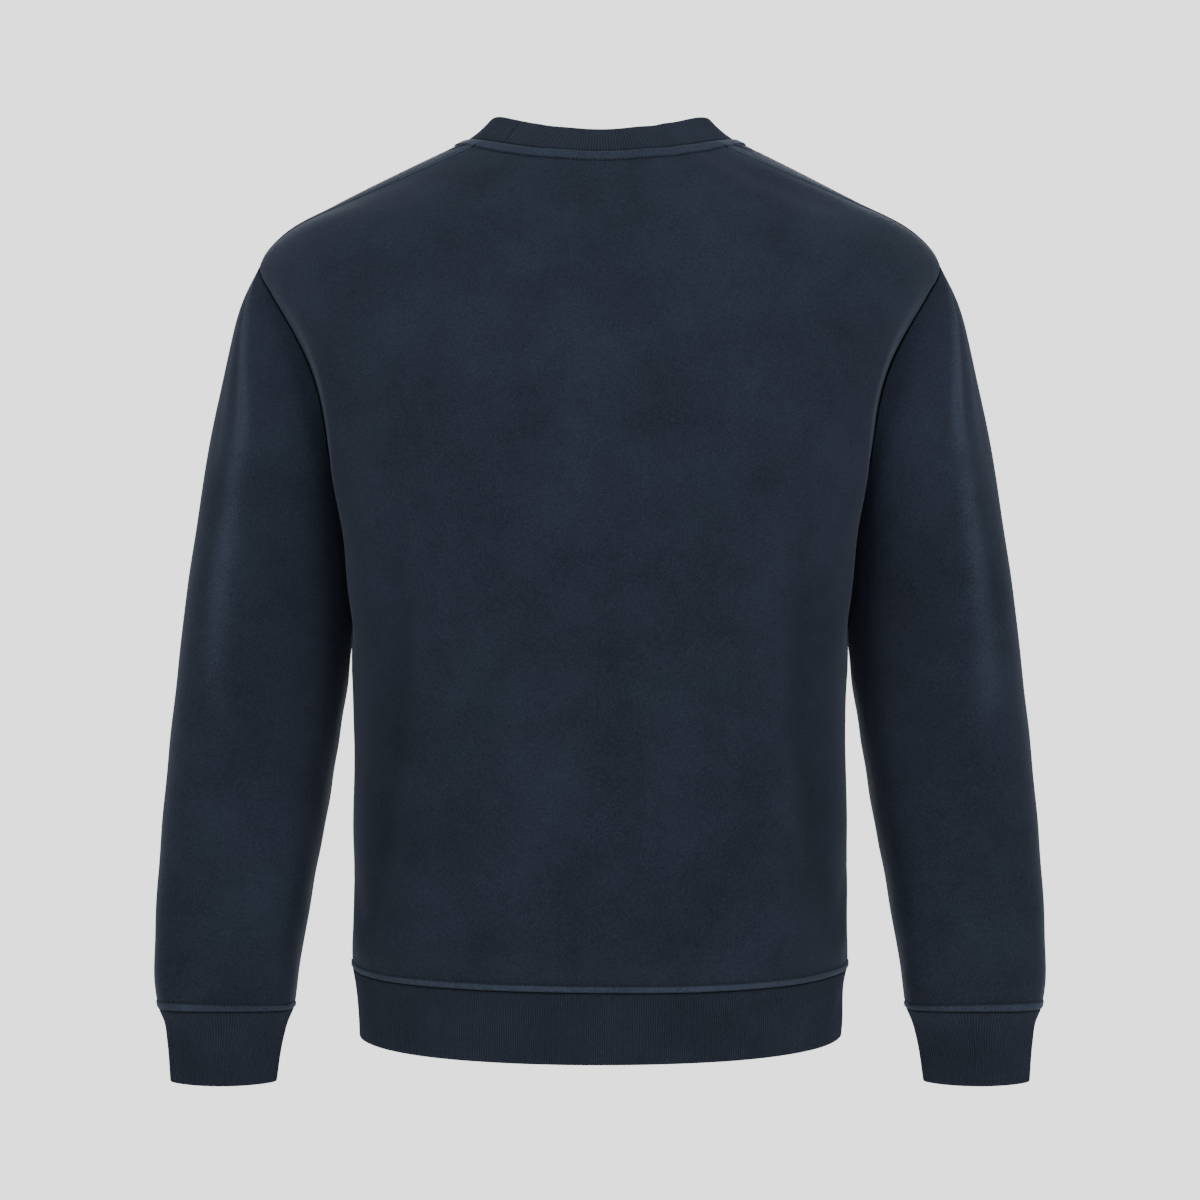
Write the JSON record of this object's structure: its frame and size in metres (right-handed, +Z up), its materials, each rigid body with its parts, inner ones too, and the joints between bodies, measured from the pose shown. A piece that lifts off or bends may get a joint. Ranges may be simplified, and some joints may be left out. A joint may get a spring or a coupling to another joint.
{
  "type": "crewneck sweatshirt",
  "caption": "Crewneck sweatshirt in navy fleece with ribbed collar, hem and cuffs, filled out as worn.",
  "frame": {"origin": "centre line of the garment, level with the points where the neck seam crosses the top of the shoulders, where a wearer's shoulders hold it up", "axes": "+Z up along the body's length, the front faces -Y, the wearer's left is +X"},
  "size_m": [0.6822, 0.2681, 0.736],
  "materials": {
    "navy_fleece": "washed cotton fleece, matt, slightly uneven in tone",
    "navy_rib": "1x1 cotton rib, matt, slightly darker than the fleece"
  },
  "bodies": {
    "root": {"back_panel": "navy_fleece", "front_panel": "navy_fleece", "sleeve_left": "navy_fleece", "sleeve_right": "navy_fleece", "cuff_left": "navy_rib", "cuff_right": "navy_rib", "neck_rib": "navy_rib", "hem_rib": "navy_rib"}
  },
  "joints": []
}
